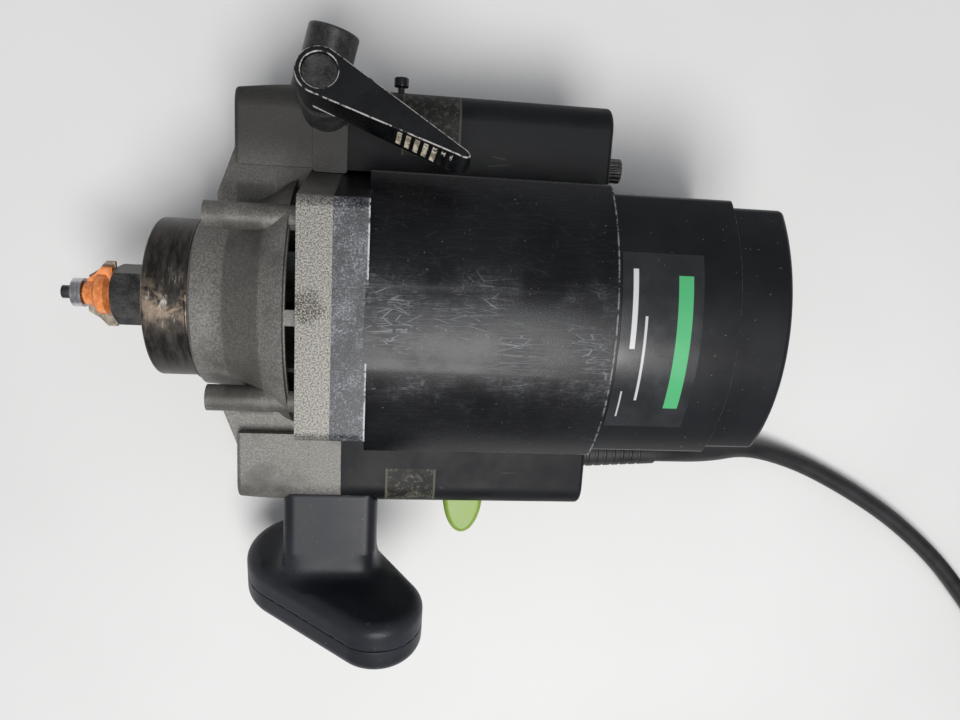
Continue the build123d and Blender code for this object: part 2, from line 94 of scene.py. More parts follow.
# node helpers
def put(tree, kind, inputs, **settings):
    made = tree.nodes.new(kind)
    for key, value in settings.items():
        setattr(made, key, value)
    for key, value in inputs.items():
        if isinstance(value, bpy.types.NodeSocket):
            tree.links.new(value, made.inputs[key])
        else:
            made.inputs[key].default_value = value
    return made


def objectSpace(tree, scale=(1, 1, 1), turn=(0, 0, 0), origin=(0, 0, 0)):
    # object coordinates, centred on origin, turned in degrees and stretched
    place = put(tree, "ShaderNodeTexCoord", {}).outputs["Object"]
    moved = put(tree, "ShaderNodeVectorMath", {0: place, 1: tuple(origin)}, operation="SUBTRACT")
    angles = [math.radians(angle) for angle in turn]
    made = put(tree, "ShaderNodeMapping", {"Vector": moved.outputs[0], "Rotation": angles, "Scale": scale})
    return made.outputs[0]


def speckle(tree, place, scale, detail=3.0, roughness=0.6, distortion=0.0):
    return put(tree, "ShaderNodeTexNoise", {
        "Vector": place, "Scale": scale, "Detail": detail, "Roughness": roughness, "Distortion": distortion,
    }).outputs[0]


def fade(tree, value, low, high, to=(0.0, 1.0)):
    return put(tree, "ShaderNodeMapRange", {
        "Value": value, "From Min": low, "From Max": high, "To Min": to[0], "To Max": to[1],
    }, interpolation_type="SMOOTHSTEP").outputs[0]


def calc(tree, kind, a, b):
    clamped = kind in ("ADD", "SUBTRACT")
    return put(tree, "ShaderNodeMath", {0: a, 1: b}, operation=kind, use_clamp=clamped).outputs[0]


def addLength(tree, a, b):
    # a sum that may fall below zero
    return put(tree, "ShaderNodeMath", {0: a, 1: b}, operation="ADD").outputs[0]


def fadeAlong(tree, value, ends):
    # fade between two places in millimetres
    return fade(tree, value, ends[0] * mm, ends[1] * mm)


def tint(tree, factor, a, b):
    # colour a turning into colour b
    made = put(tree, "ShaderNodeMix", {}, data_type="RGBA")
    for socket, value in zip((made.inputs[0], made.inputs[6], made.inputs[7]), (factor, a, b)):
        if isinstance(value, bpy.types.NodeSocket):
            tree.links.new(value, socket)
        else:
            socket.default_value = value if isinstance(value, float) else (*value, 1.0)
    return made.outputs[2]


def scratches(tree, turn, width, spread, scale=160.0, origin=(0, 0, 0)):
    # thin broken lines that run along X before they are turned
    place = objectSpace(tree, (0.12, 1.0, 1.0), turn, origin)
    lines = put(tree, "ShaderNodeTexVoronoi", {"Vector": place, "Scale": scale}, feature="DISTANCE_TO_EDGE")
    thin = fade(tree, lines.outputs[0], width, 0.0)
    broken = fade(tree, speckle(tree, objectSpace(tree), scale * 0.7, 2.0), 1.0 - spread, 1.06 - spread)
    return calc(tree, "MULTIPLY", thin, broken)


def begin(name, metallic=0.0, coat=0.0, coatRoughness=0.1, specular=0.5):
    material = bpy.data.materials.new(name)
    material.use_nodes = True
    shader = material.node_tree.nodes["Principled BSDF"]
    shader.inputs["Metallic"].default_value = metallic
    shader.inputs["Coat Weight"].default_value = coat
    shader.inputs["Coat Roughness"].default_value = coatRoughness
    shader.inputs["Specular IOR Level"].default_value = specular
    return material, material.node_tree


def end(tree, colour, roughness, height=None, depth=0.05):
    shader = tree.nodes["Principled BSDF"]
    tree.links.new(colour, shader.inputs["Base Color"])
    tree.links.new(roughness, shader.inputs["Roughness"])
    if height is not None:
        bump = put(tree, "ShaderNodeBump", {"Height": height, "Distance": depth * mm, "Strength": 1.0})
        tree.links.new(bump.outputs[0], shader.inputs["Normal"])


def plainFinish(name, values):
    # speckled two-tone finish with its own sheen and fine relief
    material, tree = begin(name, values.get("metallic", 0.0), values.get("coat", 0.0), coatRoughness=0.12,
                           specular=values.get("specular", 0.5))
    place = objectSpace(tree, values.get("stretch", (1, 1, 1)))
    blotch = speckle(tree, place, values["blotch"], 4.0)
    fine = speckle(tree, place, values["grain"], 3.0, 0.7)
    both = calc(tree, "ADD", calc(tree, "MULTIPLY", blotch, 0.55), calc(tree, "MULTIPLY", fine, 0.45))
    colour = tint(tree, fade(tree, both, 0.36, 0.64), values["dark"], values["light"])
    low, high = values["rough"]
    end(tree, colour, fade(tree, both, 0.3, 0.7, (low, high)), fine, values.get("relief", 0.03))
    return material


finishes = {
    "tool_steel": {"dark": (0.030, 0.030, 0.031), "light": (0.120, 0.117, 0.112),
                   "blotch": 140, "grain": 1500, "rough": (0.30, 0.46), "metallic": 0.7, "relief": 0.012},
    "bright_steel": {"dark": (0.42, 0.42, 0.43), "light": (0.68, 0.68, 0.70), "blotch": 220, "grain": 1800,
                     "rough": (0.18, 0.30), "metallic": 1.0, "stretch": (6, 1, 1), "relief": 0.006},
    "bit_coating": {"dark": (0.60, 0.155, 0.030), "light": (0.90, 0.34, 0.115), "blotch": 260, "grain": 900,
                    "rough": (0.28, 0.46), "coat": 0.25, "relief": 0.03},
    "carbide": {"dark": (0.18, 0.15, 0.12), "light": (0.46, 0.40, 0.32), "blotch": 320, "grain": 2400,
                "rough": (0.32, 0.5), "metallic": 0.6, "relief": 0.008},
    "black_gloss": {"dark": (0.0025, 0.0027, 0.0032), "light": (0.0075, 0.0080, 0.0090),
                    "blotch": 90, "grain": 1100,
                    "rough": (0.20, 0.34), "coat": 0.25, "relief": 0.02, "specular": 0.35},
    "green_plastic": {"dark": (0.19, 0.30, 0.040), "light": (0.26, 0.39, 0.066), "blotch": 130, "grain": 900,
                      "rough": (0.34, 0.48), "relief": 0.012},
    "copper": {"dark": (0.30, 0.095, 0.035), "light": (0.62, 0.27, 0.13), "blotch": 200, "grain": 1500,
               "rough": (0.28, 0.45), "metallic": 0.9, "stretch": (0.3, 1, 1), "relief": 0.05},
    "laminations": {"dark": (0.13, 0.13, 0.135), "light": (0.34, 0.34, 0.35), "blotch": 500, "grain": 1700,
                    "rough": (0.35, 0.55), "metallic": 0.85, "stretch": (4, 0.3, 0.3), "relief": 0.06},
    "bronze": {"dark": (0.30, 0.19, 0.07), "light": (0.52, 0.37, 0.17), "blotch": 180, "grain": 2200,
               "rough": (0.3, 0.48), "metallic": 0.9, "relief": 0.02},
    "wiper_rubber": {"dark": (0.012, 0.012, 0.013), "light": (0.032, 0.032, 0.033),
                     "blotch": 160, "grain": 1300, "rough": (0.6, 0.8), "relief": 0.03},
    "zinc_steel": {"dark": (0.28, 0.28, 0.27), "light": (0.52, 0.52, 0.50), "blotch": 240, "grain": 1900,
                   "rough": (0.3, 0.45), "metallic": 0.9, "relief": 0.012},
    "carbon": {"dark": (0.014, 0.014, 0.014), "light": (0.045, 0.045, 0.045), "blotch": 200, "grain": 1500,
               "rough": (0.5, 0.7), "relief": 0.03},
    "fan_plastic": {"dark": (0.020, 0.021, 0.023), "light": (0.050, 0.052, 0.056),
                    "blotch": 120, "grain": 1200, "rough": (0.4, 0.58), "relief": 0.02},
    "cord_rubber": {"dark": (0.0065, 0.0067, 0.0072), "light": (0.020, 0.0205, 0.022),
                    "blotch": 60, "grain": 1400, "rough": (0.42, 0.58), "relief": 0.02},
}
materials = {name: plainFinish(name, values) for name, values in finishes.items()}


castValues = {
    "leverSideShade": (35, 75),  # across: where the painted shade on the lever-side ear starts, and where it is darkest
    # ends along X and radii of the painted shade band on the cone
    "coneFront": (-102.5, -101.0),
    "coneBack": (-85.0, -87.0),
    "coneRadius": (53.0, 51.5),
    "stainSpot": (-65.5, 6, 60),
    "stainRadius": (12.5, 8.5),
}


def castAlloy(values):
    # bead-blasted casting: grey, a little warm, darker stains in patches; painted shade on the lever side and
    # on the cone
    material, tree = begin("cast_alloy", metallic=0.35, specular=0.45)
    place = objectSpace(tree)
    stain = speckle(tree, place, 26, 5.0, 0.65)
    fine = speckle(tree, place, 1150, 3.0, 0.75)
    base = tint(tree, fade(tree, fine, 0.34, 0.68), (0.125, 0.120, 0.109), (0.265, 0.257, 0.238))
    colour = tint(tree, fade(tree, stain, 0.46, 0.74), base, (0.080, 0.075, 0.066))
    parts = put(tree, "ShaderNodeSeparateXYZ", {"Vector": objectSpace(tree, origin=fromAxis(0, 0, 0))})
    # painted shade: the lever side of the casting grows darker towards its outer end
    leverSideShade = fadeAlong(tree, parts.outputs["Y"], values["leverSideShade"])
    colour = tint(tree, calc(tree, "MULTIPLY", leverSideShade, 0.9), colour, (0.024, 0.023, 0.021))
    # painted shade: a darker band on the cone between nose and rim, where its facets turn from the light
    around = put(tree, "ShaderNodeCombineXYZ", {"Y": parts.outputs["Y"], "Z": parts.outputs["Z"]})
    radius = put(tree, "ShaderNodeVectorMath", {0: around.outputs[0]}, operation="LENGTH").outputs["Value"]
    cone = calc(tree, "MULTIPLY", fadeAlong(tree, parts.outputs["X"], values["coneFront"]),
                fadeAlong(tree, parts.outputs["X"], values["coneBack"]))
    cone = calc(tree, "MULTIPLY", cone, fadeAlong(tree, radius, values["coneRadius"]))
    colour = tint(tree, calc(tree, "MULTIPLY", cone, 0.50), colour, (0.050, 0.047, 0.042))
    end(tree, colour, fade(tree, fine, 0.2, 0.8, (0.48, 0.62)), fine, 0.06)
    return material


def flangeFace(values):
    # machined rim of the casting: bright, pitted, one oily stain beside the web
    material, tree = begin("flange_face", metallic=0.45, specular=0.5)
    place = objectSpace(tree)
    pits = speckle(tree, place, 1500, 2.0, 0.8)
    base = tint(tree, fade(tree, pits, 0.34, 0.64), (0.055, 0.052, 0.047), (0.34, 0.328, 0.30))
    middle = objectSpace(tree, origin=fromAxis(*values["stainSpot"]))
    spot = put(tree, "ShaderNodeVectorMath", {0: middle}, operation="LENGTH").outputs["Value"]
    ragged = calc(tree, "ADD", spot, calc(tree, "MULTIPLY", speckle(tree, place, 320, 3.0), 0.009))
    stained = fadeAlong(tree, ragged, values["stainRadius"])
    mottled = calc(tree, "MULTIPLY", stained, fade(tree, pits, 0.60, 0.46))
    colour = tint(tree, mottled, base, (0.030, 0.027, 0.017))
    end(tree, colour, fade(tree, pits, 0.2, 0.8, (0.40, 0.6)), pits, 0.05)
    return material


barrelValues = {
    "ridge": (0, -4, 60),
    "ridgeWidth": (34, 4),
    "ridgeDepth": (-20, -10),
    "rimHighlight": (55.6, 56.2),
}


def barrelPlastic(values):
    # scuffed glass-filled nylon: scratched most along the ridge that rubs on the bench
    material, tree = begin("scuffed_plastic", specular=0.30)
    place = objectSpace(tree)
    fine = speckle(tree, place, 1400, 2.0, 0.6)
    cloud = speckle(tree, place, 34, 5.0, 0.6)
    ridge = objectSpace(tree, origin=fromAxis(*values["ridge"]))
    parts = put(tree, "ShaderNodeSeparateXYZ", {"Vector": ridge})
    across = calc(tree, "ABSOLUTE", parts.outputs["Y"], 0.0)
    nearRidge = calc(tree, "MULTIPLY", fadeAlong(tree, across, values["ridgeWidth"]),
                     fadeAlong(tree, parts.outputs["Z"], values["ridgeDepth"]))
    scuff = calc(tree, "MULTIPLY", nearRidge, fade(tree, cloud, 0.38, 0.66))
    hair = calc(tree, "ADD", scratches(tree, (0, 0, 32), 0.026, 0.60, 330),
                scratches(tree, (0, 0, -58), 0.024, 0.58, 380))
    hair = calc(tree, "MAXIMUM", hair, scratches(tree, (0, 0, 84), 0.022, 0.55, 300))
    grime = calc(tree, "MULTIPLY", fade(tree, speckle(tree, place, 430, 6.0, 0.9, 0.8), 0.47, 0.60), scuff)
    dust = fade(tree, speckle(tree, place, 620, 1.0), 0.75, 0.78)
    base = tint(tree, fade(tree, cloud, 0.3, 0.7), (0.0026, 0.0028, 0.0036), (0.0072, 0.0077, 0.0096))
    colour = tint(tree, calc(tree, "MULTIPLY", scuff, 0.42), base, (0.050, 0.052, 0.058))
    colour = tint(tree, calc(tree, "MULTIPLY", grime, 0.62), colour, (0.15, 0.153, 0.162))
    colour = tint(tree, calc(tree, "MULTIPLY", hair, fade(tree, scuff, 0.0, 0.7, (0.03, 0.62))), colour,
                  (0.26, 0.265, 0.28))
    colour = tint(tree, calc(tree, "MULTIPLY", dust, 0.3), colour, (0.30, 0.30, 0.29))
    # painted highlight: a pale broken line round the rear end of the barrel
    broken = fade(tree, speckle(tree, place, 330, 4.0, 0.7), 0.40, 0.56)
    rim = calc(tree, "MULTIPLY", fadeAlong(tree, parts.outputs["X"], values["rimHighlight"]), broken)
    colour = tint(tree, calc(tree, "MULTIPLY", rim, 0.75), colour, (0.28, 0.285, 0.30))
    gloss = calc(tree, "ADD", fade(tree, cloud, 0.3, 0.75, (0.28, 0.40)), calc(tree, "MULTIPLY", scuff, 0.10))
    gloss = calc(tree, "ADD", gloss, calc(tree, "MULTIPLY", grime, 0.25))
    end(tree, colour, gloss, fine, 0.03)
    return material


def calmPlastic():
    # satin nylon of the upper housing and the cap: clean, a few dust specks
    material, tree = begin("black_plastic", specular=0.33)
    place = objectSpace(tree)
    fine = speckle(tree, place, 1500, 2.0, 0.6)
    cloud = speckle(tree, place, 24, 4.0)
    colour = tint(tree, fade(tree, cloud, 0.3, 0.7), (0.0042, 0.0046, 0.0058), (0.0088, 0.0096, 0.0120))
    hair = scratches(tree, (0, 0, 40), 0.018, 0.34, 260)
    colour = tint(tree, calc(tree, "MULTIPLY", hair, 0.22), colour, (0.10, 0.105, 0.115))
    dust = fade(tree, speckle(tree, place, 640, 1.0), 0.765, 0.79)
    colour = tint(tree, calc(tree, "MULTIPLY", dust, 0.4), colour, (0.28, 0.28, 0.27))
    end(tree, colour, fade(tree, cloud, 0.3, 0.75, (0.30, 0.40)), fine, 0.015)
    return material


def wornBlackEdge():
    # black flange rim with most of its skin rubbed grey
    material, tree = begin("flange_black", specular=0.5)
    place = objectSpace(tree)
    patchy = speckle(tree, place, 130, 6.0, 0.85, 0.4)
    fine = speckle(tree, place, 1300, 2.0, 0.8)
    mask = calc(tree, "ADD", calc(tree, "MULTIPLY", patchy, 0.5), calc(tree, "MULTIPLY", fine, 0.5))
    colour = tint(tree, fade(tree, mask, 0.42, 0.56), (0.006, 0.007, 0.010), (0.100, 0.105, 0.118))
    bright = fade(tree, mask, 0.53, 0.60)
    colour = tint(tree, bright, colour, (0.27, 0.28, 0.30))
    parts = put(tree, "ShaderNodeSeparateXYZ", {"Vector": objectSpace(tree, origin=fromAxis(0, 0, 0))})
    paleLine = fadeAlong(tree, parts.outputs["X"], (-43.3, -42.7))
    rim = calc(tree, "MULTIPLY", paleLine, fade(tree, patchy, 0.42, 0.50))
    colour = tint(tree, rim, colour, (0.52, 0.53, 0.55))
    end(tree, colour, fade(tree, mask, 0.3, 0.6, (0.34, 0.55)), fine, 0.06)
    return material


glueMarks = (
    {"x": -19, "y": 82, "wide": 26, "high": 30, "strength": 0.35},
    {"x": -22, "y": -83.5, "wide": 24, "high": 17, "strength": 0.6},
)


def boxPlastic(marks):
    # column boxes, with what is left of the glue of peeled stickers
    material, tree = begin("box_plastic", specular=0.20)
    place = objectSpace(tree)
    fine = speckle(tree, place, 1500, 2.0, 0.6)
    cloud = speckle(tree, place, 40, 4.0)
    colour = tint(tree, fade(tree, cloud, 0.3, 0.7), (0.0040, 0.0044, 0.0055), (0.0085, 0.0092, 0.0112))
    crumbs = fade(tree, speckle(tree, place, 330, 5.0, 0.75, 0.6), 0.50, 0.62)
    for mark in marks:
        halfX, halfY = mark["wide"] / 2, mark["high"] / 2
        middle = objectSpace(tree, origin=fromAxis(mark["x"], mark["y"], 13))
        parts = put(tree, "ShaderNodeSeparateXYZ", {"Vector": middle})
        offX = calc(tree, "ABSOLUTE", parts.outputs["X"], 0.0)
        offY = calc(tree, "ABSOLUTE", parts.outputs["Y"], 0.0)
        inX = fadeAlong(tree, offX, (halfX, halfX - 0.6))
        inY = fadeAlong(tree, offY, (halfY, halfY - 0.6))
        onTop = fadeAlong(tree, parts.outputs["Z"], (-14, -10))
        patch = calc(tree, "MULTIPLY", calc(tree, "MULTIPLY", inX, inY), onTop)
        colour = tint(tree, calc(tree, "MULTIPLY", patch, 0.30), colour, (0.045, 0.043, 0.036))
        border = fadeAlong(tree, offX, (halfX - 1.4, halfX - 1.0))
        glue = calc(tree, "MULTIPLY", patch, calc(tree, "MAXIMUM", crumbs, border))
        colour = tint(tree, calc(tree, "MULTIPLY", glue, mark["strength"]), colour, (0.16, 0.15, 0.115))
    colour = tint(tree, calc(tree, "MULTIPLY", scratches(tree, (0, 0, 20), 0.02, 0.36, 90), 0.35), colour,
                  (0.12, 0.12, 0.13))
    end(tree, colour, fade(tree, cloud, 0.3, 0.7, (0.46, 0.60)), fine, 0.02)
    return material


labelBars = (
    # place along and across, half sizes, colour
    (9.5, 0.5, 3.1, 28, (0.075, 0.43, 0.17)),
    (-6.5, -6.0, 0.55, 18, (0.55, 0.56, 0.57)),
    (-11.5, 14.5, 1.1, 16, (0.60, 0.61, 0.62)),
    (-13.0, -26.0, 0.35, 6, (0.50, 0.50, 0.51)),
)


def labelFilm(bars, blur=0.12):
    # glossy film: plain bars and rules stand in for its printing
    material, tree = begin("label_film", coat=0.6, coatRoughness=0.16, specular=0.5)
    low, high = (Vector(corner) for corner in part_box("rating_label"))
    parts = put(tree, "ShaderNodeSeparateXYZ", {"Vector": objectSpace(tree, origin=(low + high) / 2)})
    along, across = parts.outputs["X"], parts.outputs["Y"]
    cloud = speckle(tree, objectSpace(tree), 55, 4.0)
    colour = tint(tree, fade(tree, cloud, 0.3, 0.7), (0.0075, 0.0080, 0.0095), (0.017, 0.018, 0.021))
    for x, y, halfX, halfY, shade in bars:
        nearX = calc(tree, "ABSOLUTE", addLength(tree, along, -x * mm), 0.0)
        nearY = calc(tree, "ABSOLUTE", addLength(tree, across, -y * mm), 0.0)
        inside = calc(tree, "MULTIPLY", fadeAlong(tree, nearX, (halfX + blur, halfX - blur)),
                      fadeAlong(tree, nearY, (halfY + blur, halfY - blur)))
        colour = tint(tree, inside, colour, shade)
    rubbed = fade(tree, speckle(tree, objectSpace(tree), 420, 4.0, 0.8, 1.0), 0.66, 0.72)
    colour = tint(tree, calc(tree, "MULTIPLY", rubbed, 0.5), colour, (0.22, 0.21, 0.21))
    end(tree, colour, fade(tree, cloud, 0.3, 0.7, (0.22, 0.34)), cloud, 0.05)
    return material


def collarSteel():
    # steel ring, brown-black, rubbed bright and rusty where a base was clamped
    material, tree = begin("collar_steel", metallic=0.65, specular=0.5)
    place = objectSpace(tree)
    streak = speckle(tree, objectSpace(tree, (1, 0.25, 0.25)), 300, 4.0, 0.7)
    patch = speckle(tree, place, 70, 5.0, 0.7, 0.5)
    base = tint(tree, fade(tree, streak, 0.35, 0.65), (0.020, 0.0185, 0.0175), (0.070, 0.062, 0.055))
    clamped = objectSpace(tree, (0.6, 1.1, 0.5), origin=fromAxis(-124, 2, 35))
    spot = put(tree, "ShaderNodeVectorMath", {0: clamped}, operation="LENGTH").outputs["Value"]
    near = fadeAlong(tree, addLength(tree, spot, calc(tree, "MULTIPLY", patch, 0.02)), (27, 13))
    colour = tint(tree, calc(tree, "MULTIPLY", near, fade(tree, patch, 0.42, 0.58)), base, (0.34, 0.26, 0.19))
    shine = calc(tree, "MULTIPLY", near, fade(tree, streak, 0.55, 0.7))
    colour = tint(tree, shine, colour, (0.62, 0.57, 0.50))
    end(tree, colour, fade(tree, streak, 0.3, 0.7, (0.30, 0.48)), streak, 0.015)
    return material


def gripPlastic():
    # satin grip with a few fine scratches
    material, tree = begin("grip_plastic", specular=0.24)
    place = objectSpace(tree)
    fine = speckle(tree, place, 1700, 2.0, 0.6)
    cloud = speckle(tree, place, 30, 4.0)
    colour = tint(tree, fade(tree, cloud, 0.3, 0.7), (0.0140, 0.0155, 0.0200), (0.0250, 0.0275, 0.0345))
    colour = tint(tree, calc(tree, "MULTIPLY", scratches(tree, (0, 0, -62), 0.03, 0.34, 210), 0.3), colour,
                  (0.16, 0.17, 0.19))
    dust = fade(tree, speckle(tree, place, 700, 1.0), 0.74, 0.78)
    colour = tint(tree, calc(tree, "MULTIPLY", dust, 0.35), colour, (0.22, 0.22, 0.22))
    end(tree, colour, fade(tree, cloud, 0.3, 0.75, (0.36, 0.47)), fine, 0.03)
    return material


def edgeWearAndHighlight(name, low, high, bare):
    # pale broken stretches along an edge: rubbed skin on the lever, painted highlight on the housing edges
    material, tree = begin(name)
    patchy = speckle(tree, objectSpace(tree), 260, 5.0, 0.75)
    colour = tint(tree, fade(tree, patchy, low, high), (0.010, 0.010, 0.012), bare)
    end(tree, colour, fade(tree, patchy, low, high, (0.26, 0.42)))
    return material


def leverDust():
    # pale dust caught in the hollow of the lever
    material, tree = begin("lever_dust")
    patchy = speckle(tree, objectSpace(tree), 500, 3.0)
    colour = tint(tree, fade(tree, patchy, 0.4, 0.6), (0.20, 0.17, 0.12), (0.52, 0.47, 0.38))
    end(tree, colour, fade(tree, patchy, 0.3, 0.7, (0.6, 0.8)), patchy, 0.05)
    return material


materials.update({
    "cast_alloy": castAlloy(castValues),
    "flange_face": flangeFace(castValues),
    "black_plastic": calmPlastic(),
    "scuffed_plastic": barrelPlastic(barrelValues),
    "flange_black": wornBlackEdge(),
    "box_plastic": boxPlastic(glueMarks),
    "label_film": labelFilm(labelBars),
    "collar_steel": collarSteel(),
    "grip_plastic": gripPlastic(),
    "worn_edge": edgeWearAndHighlight("worn_edge", 0.43, 0.53, (0.42, 0.41, 0.39)),
    # painted highlight: pale broken lines on the rounded edges of the motor and upper housings
    "housing_edge_highlight": edgeWearAndHighlight("housing_edge_highlight", 0.40, 0.56, (0.22, 0.225, 0.235)),
    "lever_dust": leverDust(),
})
print("materials made:", len(materials))


# floor and light
stageValues = {
    "floorHalf": 3.0,
    "floorDrop": 0.2,  # millimetres, so that the floor doesn't meet the object's underside
    "roomColour": (0.93, 0.95, 1.0, 1),
    "roomLight": 0.29,
}
lampValues = {
    "key": {"spot": (0.10, -0.50, 1.35), "size": 0.75, "power": 15.0, "colour": (1, 0.99, 0.975)},
    "overhead": {"spot": (0.22, -0.02, 1.5), "size": 0.35, "power": 3.0, "colour": (0.97, 0.985, 1)},
}


def makeFloor(values):
    shape = bmesh.new()
    bmesh.ops.create_grid(shape, x_segments=1, y_segments=1, size=values["floorHalf"])
    mesh = bpy.data.meshes.new("floor")
    shape.to_mesh(mesh)
    floor = bpy.data.objects.new("floor", mesh)
    floor.location.z = -values["floorDrop"] * mm
    scene.collection.objects.link(floor)
    material, tree = begin("floor", specular=0.3)
    cloud = speckle(tree, objectSpace(tree), 3.0, 3.0)
    colour = tint(tree, fade(tree, cloud, 0.3, 0.7), (0.755, 0.752, 0.745), (0.80, 0.797, 0.79))
    end(tree, colour, fade(tree, cloud, 0.3, 0.7, (0.55, 0.62)))
    mesh.materials.append(material)


def makeLamp(name, values):
    # soft round lamp aimed at the origin
    data = bpy.data.lights.new(name, "AREA")
    data.shape = "DISK"
    data.size = values["size"]
    data.energy = values["power"]
    data.color = values["colour"]
    lamp = bpy.data.objects.new(name, data)
    lamp.location = values["spot"]
    lamp.rotation_euler = (-Vector(values["spot"])).to_track_quat("-Z", "Y").to_euler()
    scene.collection.objects.link(lamp)


def makeRoom(values):
    world = bpy.data.worlds.new("room")
    world.use_nodes = True
    background = world.node_tree.nodes["Background"]
    background.inputs["Color"].default_value = values["roomColour"]
    background.inputs["Strength"].default_value = values["roomLight"]
    scene.world = world


makeFloor(stageValues)
for lampName, lamp in lampValues.items():
    makeLamp(lampName, lamp)
makeRoom(stageValues)
print("stage and lamps ready")


# shaping helpers
weldGap = 2e-6  # metres
creaseAngle = 38  # degrees: a sharper edge stays sharp


def finishPiece(shape, name, body, mats, replaced=(), smoothAngle=creaseAngle):
    # mesh with its materials, shaded smooth up to the crease angle, riding its body
    mesh = bpy.data.meshes.new(name)
    shape.to_mesh(mesh)
    shape.free()
    for material in mats:
        mesh.materials.append(materials[material])
    mesh.shade_smooth()
    mesh.set_sharp_from_angle(angle=math.radians(smoothAngle))
    piece = bpy.data.objects.new(name, mesh)
    scene.collection.objects.link(piece)
    flat = piece.modifiers.new("flatFaces", "WEIGHTED_NORMAL")
    flat.keep_sharp = True
    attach(piece, body)
    if replaced:
        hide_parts(*replaced)
    return piece


def bodyOf(node):
    for body, members in frame["record"]["behaviour"]["bodies"].items():
        if node in members:
            return body


def slotOf(node):
    for part in frame["record"]["subparts"]:
        if part["node"] == node:
            return part["material_slot"]


def softened(node, name, values):
    # copy of a CAD node with its edges rounded
    shape = bmesh.new()
    shape.from_mesh(nodes[node].data)
    bmesh.ops.remove_doubles(shape, verts=shape.verts, dist=weldGap)
    bmesh.ops.dissolve_limit(shape, angle_limit=math.radians(0.4), verts=shape.verts, edges=shape.edges,
                             use_dissolve_boundaries=False)
    if "reshape" in values:
        values["reshape"](shape)
    limit = math.radians(values.get("angle", 32))
    edges = [edge for edge in shape.edges if len(edge.link_faces) == 2 and edge.calc_face_angle(0.0) > limit]
    made = bmesh.ops.bevel(shape, geom=edges, affect="EDGES", offset=values["round"] * mm,
                           offset_type="OFFSET", segments=values.get("segments", 2), profile=0.5, material=-1,
                           clamp_overlap=values.get("clamp", True))
    for face in shape.faces:
        face.material_index = 0
    if "edgeIndex" in values:
        for face in made["faces"]:
            face.material_index = values["edgeIndex"]
    if "paint" in values:
        values["paint"](shape)
    mats = values.get("mats", [slotOf(node)])
    return finishPiece(shape, name, bodyOf(node), mats, (node,),
                       values.get("smooth", creaseAngle))


def lathe(shape, profile, steps, place):
    # (x, radius) points spun about X, in millimetres, then set in place and closed
    line = [shape.verts.new((x, 0.0, radius)) for x, radius in profile]
    edges = [shape.edges.new(pair) for pair in zip(line, line[1:])]
    bmesh.ops.spin(shape, geom=line + edges, cent=(0, 0, 0), axis=(1, 0, 0), angle=math.tau, steps=steps,
                   use_merge=True)
    bmesh.ops.transform(shape, matrix=place, verts=shape.verts)
    bmesh.ops.remove_doubles(shape, verts=shape.verts, dist=1e-6)
    bmesh.ops.recalc_face_normals(shape, faces=shape.faces)


print("helpers ready")


# mains cord
cordValues = {
    "radius": 5.2,
    "route": ((61.5, -73, -14), (108, -73, -14), (142, -78, -29), (174, -80, -49), (210, -90, -54.8),
              (246, -107, -54.8), (280, -127, -54.8), (313, -153, -54.8), (337, -178.5, -54.8),
              (360, -205, -54.8)),
    "coilCentre": (433, -185),
    "coilEntry": 222,  # degrees round the coil where the cord runs onto it
    "outerTurn": 68.0,
    "spacing": 10.6,
    "layers": 4,
    "turns": 9 + 138 / 360,
    "pointsPerTurn": 16,
    "climbShare": 0.36,  # of a turn, over which the cord rises to the next layer
    "tail": ((501, -155, -23.0), (499, -126, -33), (493, -99, -44), (485, -73, -50), (475, -48, -47),
             (464.5, -24, -41.5)),
    "length": 3.8,  # metres
}


def coilPoints(values):
    # wound in, up and out again, layer on layer
    centreX, centreY = values["coilCentre"]
    perLayer, spacing = values["turns"] / values["layers"], values["spacing"]
    count = round(values["turns"] * values["pointsPerTurn"])
    points = []
    for step in range(count + 1):
        turns = values["turns"] * step / count
        layer = turns / perLayer
        inward = abs((layer + 1) % 2 - 1)
        radius = values["outerTurn"] - spacing * perLayer * inward
        whole = round(layer)
        if 0 < whole < values["layers"]:
            share = min(max((layer - whole) * perLayer / values["climbShare"] + 0.5, 0.0), 1.0)
            climb = share * share * (3 - 2 * share) + whole - 1
        else:
            climb = min(whole, values["layers"] - 1)
        angle = math.radians(values["coilEntry"]) + math.tau * turns
        points.append((centreX + radius * math.cos(angle), centreY + radius * math.sin(angle),
                       values["route"][-1][2] + spacing * climb))
    return points


def makeCord(values):
    places = [*values["route"], *coilPoints(values), *values["tail"]]
    data = bpy.data.curves.new("mainsCord", "CURVE")
    data.dimensions = "3D"
    data.bevel_depth = values["radius"] * mm
    data.bevel_resolution = 5
    data.resolution_u = 5
    data.use_fill_caps = True
    spline = data.splines.new("NURBS")
    spline.points.add(len(places) - 1)
    for point, place in zip(spline.points, places):
        point.co = (*fromAxis(*place), 1.0)
    spline.order_u = 3
    spline.use_endpoint_u = True
    data.materials.append(materials["cord_rubber"])
    cord = bpy.data.objects.new("mainsCord", data)
    scene.collection.objects.link(cord)
    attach(cord, "head")
    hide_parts("mains_cord", "mains_cord_tail", "cord_coil")
    return cord


mainsCord = makeCord(cordValues)


bootValues = {
    "start": 61.5, "y": -73, "z": -14, "length": 44.0, "wide": 8.6, "narrow": 6.2, "bore": 5.3,
    "sleeveRadius": 6.6, "sleeveLength": 4.0, "grooves": 7, "grooveDepth": 0.45,
}


